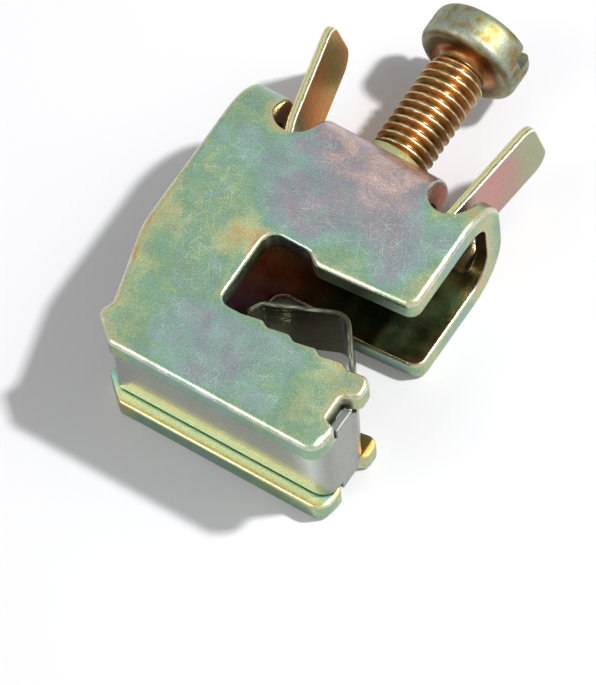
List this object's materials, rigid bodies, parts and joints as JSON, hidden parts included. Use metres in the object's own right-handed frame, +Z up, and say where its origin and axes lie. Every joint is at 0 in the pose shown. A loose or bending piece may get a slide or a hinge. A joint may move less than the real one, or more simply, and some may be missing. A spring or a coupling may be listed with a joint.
{
  "type": "busbar conductor clamp",
  "caption": "Folded sheet-steel clamp that hooks onto a flat busbar edge and holds a wire under a slotted screw with a pressure plate and a retaining spring leaf.",
  "frame": {"origin": "on the outside of the rear cheek, which is the rest face, straight below the screw axis", "axes": "+X along the ridge toward the mouth of the busbar slot, +Y along the screw toward its head, +Z up from the rest face"},
  "size_m": [0.0228, 0.0406, 0.012],
  "materials": {
    "chromated_sheet": "zinc plate with iridescent yellow chromate",
    "chromated_screw": "zinc plate with brown-gold chromate",
    "chromated_plate": "zinc plate with iridescent yellow chromate",
    "spring_steel": "bright rolled spring steel"
  },
  "bodies": {
    "frame": {"clamp_body": "chromated_sheet", "spring_base": "spring_steel"},
    "plate": {"pressure_plate": "chromated_plate"},
    "screw": {"clamping_screw": "chromated_screw"},
    "ear_left": {"left_ear": "chromated_plate"},
    "ear_right": {"right_ear": "chromated_plate"},
    "leaf": {"spring_leaf": "spring_steel"}
  },
  "joints": [
    {"name": "plate_slide", "type": "slide", "parent": "frame", "child": "plate", "axis": [0, -1, 0], "range_m": [0, 0.008]},
    {"name": "screw_turn", "type": "hinge", "parent": "plate", "child": "screw", "pos_m": [0, 0.0191, 0.006], "axis": [0, -1, 0], "range_deg": [0, 3600]},
    {"name": "ear_left_flex", "type": "hinge", "parent": "plate", "child": "ear_left", "pos_m": [-0.0071, 0.0044, 0.006], "axis": [0, 0, -1], "range_deg": [0, 13]},
    {"name": "ear_right_flex", "type": "hinge", "parent": "plate", "child": "ear_right", "pos_m": [0.0071, 0.0044, 0.006], "axis": [0, 0, 1], "range_deg": [0, 6.5]},
    {"name": "leaf_flex", "type": "hinge", "parent": "frame", "child": "leaf", "pos_m": [0.0102, -0.0126, 0.006], "axis": [0, 0, 1], "range_deg": [0, 31], "stiffness_Nm_per_rad": 0.06}
  ],
  "couplings": [
    {"joint": "screw_turn", "follows": "plate_slide", "rad_per_m": 7854},
    {"joint": "ear_left_flex", "follows": "plate_slide", "rad_per_m": 28.362},
    {"joint": "ear_right_flex", "follows": "plate_slide", "rad_per_m": 14.181}
  ]
}
